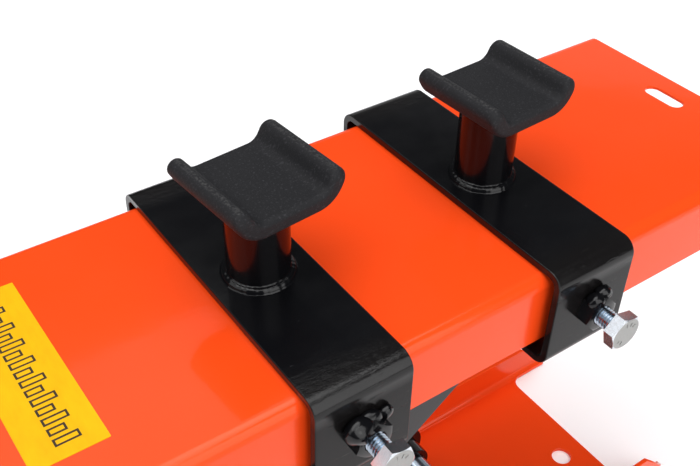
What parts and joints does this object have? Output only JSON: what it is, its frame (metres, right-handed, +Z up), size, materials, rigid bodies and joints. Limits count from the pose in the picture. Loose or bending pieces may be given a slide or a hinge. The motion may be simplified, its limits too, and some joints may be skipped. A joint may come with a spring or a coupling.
{
  "type": "motorcycle scissor lift",
  "caption": "Low scissor lift: folded base channel, crossed flat arms driven by a lead screw, and a deck channel with sliding clamped saddles that carry rubber cradles.",
  "frame": {"origin": "middle of the base plate's underside, on the floor", "axes": "+X along the deck towards the fixed pivots, +Z up, so -Y is the side with the clamp bolts"},
  "size_m": [0.648, 0.1974, 0.3604],
  "materials": {
    "orange_paint": "glossy powder coat",
    "black_paint": "glossy powder coat",
    "zinc": "bright bluish zinc plating",
    "steel": "turned, lightly oiled",
    "dark_clip": "phosphated spring steel",
    "bronze": "sintered bronze",
    "rubber_black": "matt, fine grain",
    "label_film": "satin printed film"
  },
  "bodies": {
    "base": {"base_channel": "orange_paint", "base_pivot_lugs": "orange_paint", "base_pivot_shaft": "zinc", "base_shaft_clips": "dark_clip", "base_inner_spacers": "black_paint", "base_outer_spacers": "black_paint", "thrust_bracket": "orange_paint", "thrust_bearing": "steel"},
    "screw": {"lead_screw": "steel"},
    "inner_arms": {"inner_arm_near": "black_paint", "inner_arm_far": "black_paint", "inner_arm_bushes": "bronze", "centre_shaft": "steel", "centre_shaft_clips": "dark_clip", "centre_spacer": "black_paint", "upper_roller_shaft": "steel", "upper_roller_clips": "dark_clip"},
    "outer_arms": {"outer_arm_near": "black_paint", "outer_arm_far": "black_paint", "outer_arm_bushes": "bronze"},
    "nut_carriage": {"screw_nut_block": "zinc", "nut_block_clips": "dark_clip", "nut_block_spacers": "black_paint"},
    "lower_roller_pair": {"lower_rollers": "steel"},
    "upper_roller_pair": {"upper_rollers": "steel"},
    "deck": {"deck_channel": "orange_paint", "deck_pivot_lugs": "orange_paint", "deck_pivot_shaft": "steel", "deck_shaft_clips": "dark_clip", "deck_spacer": "black_paint", "capacity_label": "label_film"},
    "saddle_a": {"saddle_a_bracket": "black_paint", "saddle_a_clamp_nut": "black_paint", "saddle_a_post": "black_paint", "saddle_a_post_weld": "black_paint", "saddle_a_cradle_plate": "steel", "saddle_a_cradle_pad": "rubber_black"},
    "saddle_b": {"saddle_b_bracket": "black_paint", "saddle_b_clamp_nut": "black_paint", "saddle_b_post": "black_paint", "saddle_b_post_weld": "black_paint", "saddle_b_cradle_plate": "steel", "saddle_b_cradle_pad": "rubber_black"},
    "clamp_bolt_a": {"saddle_a_clamp_bolt": "zinc"},
    "clamp_bolt_b": {"saddle_b_clamp_bolt": "zinc"}
  },
  "joints": [
    {"name": "lift", "type": "hinge", "parent": "base", "child": "inner_arms", "pos_m": [0.155, 0, 0.03], "axis": [0, 1, 0], "range_deg": [-30.17, 23.83]},
    {"name": "cross_pivot", "type": "hinge", "parent": "inner_arms", "child": "outer_arms", "pos_m": [0.00169, 0, 0.1505], "axis": [0, 1, 0], "range_deg": [-48.7, 61.3]},
    {"name": "deck_pivot", "type": "hinge", "parent": "outer_arms", "child": "deck", "pos_m": [0.155, 0, 0.271], "axis": [0, 1, 0], "range_deg": [-31.2, 24.8]},
    {"name": "nut_pivot", "type": "hinge", "parent": "outer_arms", "child": "nut_carriage", "pos_m": [-0.15163, 0, 0.03], "axis": [0, 1, 0], "range_deg": [-31.2, 24.8]},
    {"name": "lower_roller_spin", "type": "hinge", "parent": "nut_carriage", "child": "lower_roller_pair", "pos_m": [-0.15163, 0, 0.03], "axis": [0, 1, 0], "range_deg": [-242.3, 191.7]},
    {"name": "upper_roller_spin", "type": "hinge", "parent": "inner_arms", "child": "upper_roller_pair", "pos_m": [-0.15163, 0, 0.271], "axis": [0, 1, 0], "range_deg": [-251, 317.4]},
    {"name": "screw_turn", "type": "hinge", "parent": "base", "child": "screw", "pos_m": [0, 0, 0.03], "axis": [1, 0, 0], "range_deg": [-10212.4, 8068.6]},
    {"name": "saddle_a_slide", "type": "slide", "parent": "deck", "child": "saddle_a", "axis": [1, 0, 0], "range_m": [-0.29, 0.04]},
    {"name": "saddle_b_slide", "type": "slide", "parent": "deck", "child": "saddle_b", "axis": [1, 0, 0], "range_m": [-0.04, 0.11]},
    {"name": "clamp_bolt_a_travel", "type": "slide", "parent": "saddle_a", "child": "clamp_bolt_a", "axis": [0, -1, 0], "range_m": [0, 0.006]},
    {"name": "clamp_bolt_b_travel", "type": "slide", "parent": "saddle_b", "child": "clamp_bolt_b", "axis": [0, -1, 0], "range_m": [0, 0.006]}
  ],
  "couplings": [
    {"joint": "cross_pivot", "follows": "lift", "ratio": -2},
    {"joint": "deck_pivot", "follows": "lift", "ratio": 1},
    {"joint": "nut_pivot", "follows": "lift", "ratio": 1},
    {"joint": "lower_roller_spin", "follows": "lift", "ratio": 8},
    {"joint": "upper_roller_spin", "follows": "lift", "ratio": -10.49},
    {"joint": "screw_turn", "follows": "lift", "ratio": 338.5}
  ]
}
